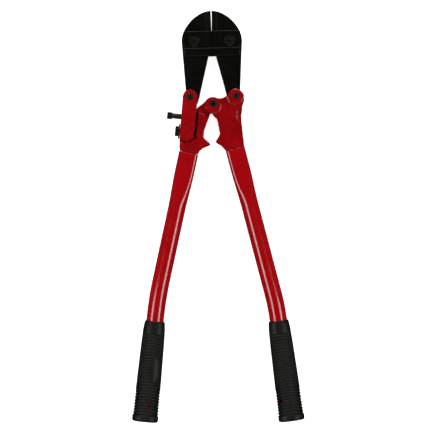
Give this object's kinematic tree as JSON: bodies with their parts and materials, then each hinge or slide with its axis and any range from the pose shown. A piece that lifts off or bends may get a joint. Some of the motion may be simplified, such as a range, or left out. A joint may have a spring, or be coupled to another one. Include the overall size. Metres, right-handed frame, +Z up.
{
  "type": "bolt cutter",
  "caption": "Long-handled compound-action bolt cutter with centre-cut black jaws joined by straps, red forged heads and tube handles, and ribbed rubber grips",
  "frame": {"origin": "centre of the bounding box's bottom face: the tool lies flat on Z = 0 on its grips and nuts", "axes": "+Z up out of the front face, +Y from the grips towards the jaws, +X to the tool's right seen from the front; the adjusting link is on the -X side"},
  "size_m": [0.2552, 0.6112, 0.035],
  "materials": {
    "jaw_steel": "forged jaws and straps with a black oxide finish",
    "fastener_steel": "dark zinc and black oxide bolts, nuts and pins",
    "red_enamel": "glossy deep red enamel over forged steel",
    "red_tube": "glossy deep red enamel over drawn tube",
    "black_rubber": "matt black moulded rubber with fine cross ribs"
  },
  "bodies": {
    "straps": {"front_strap": "jaw_steel", "back_strap": "jaw_steel", "left_strap_bolt": "fastener_steel", "right_strap_bolt": "fastener_steel", "left_strap_nut": "fastener_steel", "right_strap_nut": "fastener_steel"},
    "left_jaw": {"left_jaw": "jaw_steel"},
    "right_jaw": {"right_jaw": "jaw_steel"},
    "link": {"front_link_plate": "red_enamel", "back_link_plate": "red_enamel", "screw_block": "red_enamel", "left_jaw_bolt": "fastener_steel", "left_jaw_nut": "fastener_steel"},
    "adjusting_screw": {"adjusting_screw": "fastener_steel"},
    "left_handle": {"left_handle_head": "red_enamel", "link_trunnion": "red_enamel", "left_tube": "red_tube", "left_grip": "black_rubber", "left_tube_pin": "red_tube"},
    "lock_bolt": {"lock_bolt": "fastener_steel", "lock_washer": "fastener_steel"},
    "right_handle": {"right_handle_head": "red_enamel", "center_bolt": "fastener_steel", "center_nut": "fastener_steel", "right_jaw_bolt": "fastener_steel", "right_jaw_nut": "fastener_steel", "right_tube": "red_tube", "right_grip": "black_rubber", "right_tube_pin": "red_tube"}
  },
  "joints": [
    {"name": "right_handle_swing", "type": "hinge", "parent": "right_jaw", "child": "right_handle", "pos_m": [0.0383, 0.17855, 0.0175], "axis": [0, 0, 1], "range_deg": [-3.7, 49.5]},
    {"name": "right_jaw_swing", "type": "hinge", "parent": "straps", "child": "right_jaw", "pos_m": [0.0302, 0.26045, 0.0175], "axis": [0, 0, 1], "range_deg": [-9.55, 0.75]},
    {"name": "left_jaw_swing", "type": "hinge", "parent": "straps", "child": "left_jaw", "pos_m": [-0.0216, 0.26045, 0.0175], "axis": [0, 0, 1], "range_deg": [-0.75, 9.55]},
    {"name": "link_swing", "type": "hinge", "parent": "left_jaw", "child": "link", "pos_m": [-0.0297, 0.17855, 0.0175], "axis": [0, 0, 1], "range_deg": [-49.6, 3.8]},
    {"name": "link_adjust", "type": "hinge", "parent": "link", "child": "left_handle", "pos_m": [-0.0357, 0.12725, 0.0175], "axis": [0, 0, 1], "range_deg": [-1, 1]},
    {"name": "adjusting_screw_turn", "type": "hinge", "parent": "link", "child": "adjusting_screw", "pos_m": [-0.03316, 0.149, 0.0175], "axis": [0.9932, -0.1162, 0], "range_deg": [-120, 120]},
    {"name": "lock_bolt_turn", "type": "hinge", "parent": "left_handle", "child": "lock_bolt", "pos_m": [-0.0357, 0.12725, 0.0175], "axis": [0.9932, -0.1162, 0], "range_deg": [-360, 0]}
  ],
  "couplings": [
    {"joint": "right_jaw_swing", "follows": "right_handle_swing", "ratio": -0.192},
    {"joint": "left_jaw_swing", "follows": "right_handle_swing", "ratio": 0.192},
    {"joint": "link_swing", "follows": "right_handle_swing", "ratio": -1},
    {"joint": "adjusting_screw_turn", "follows": "link_adjust", "ratio": -110.08}
  ]
}
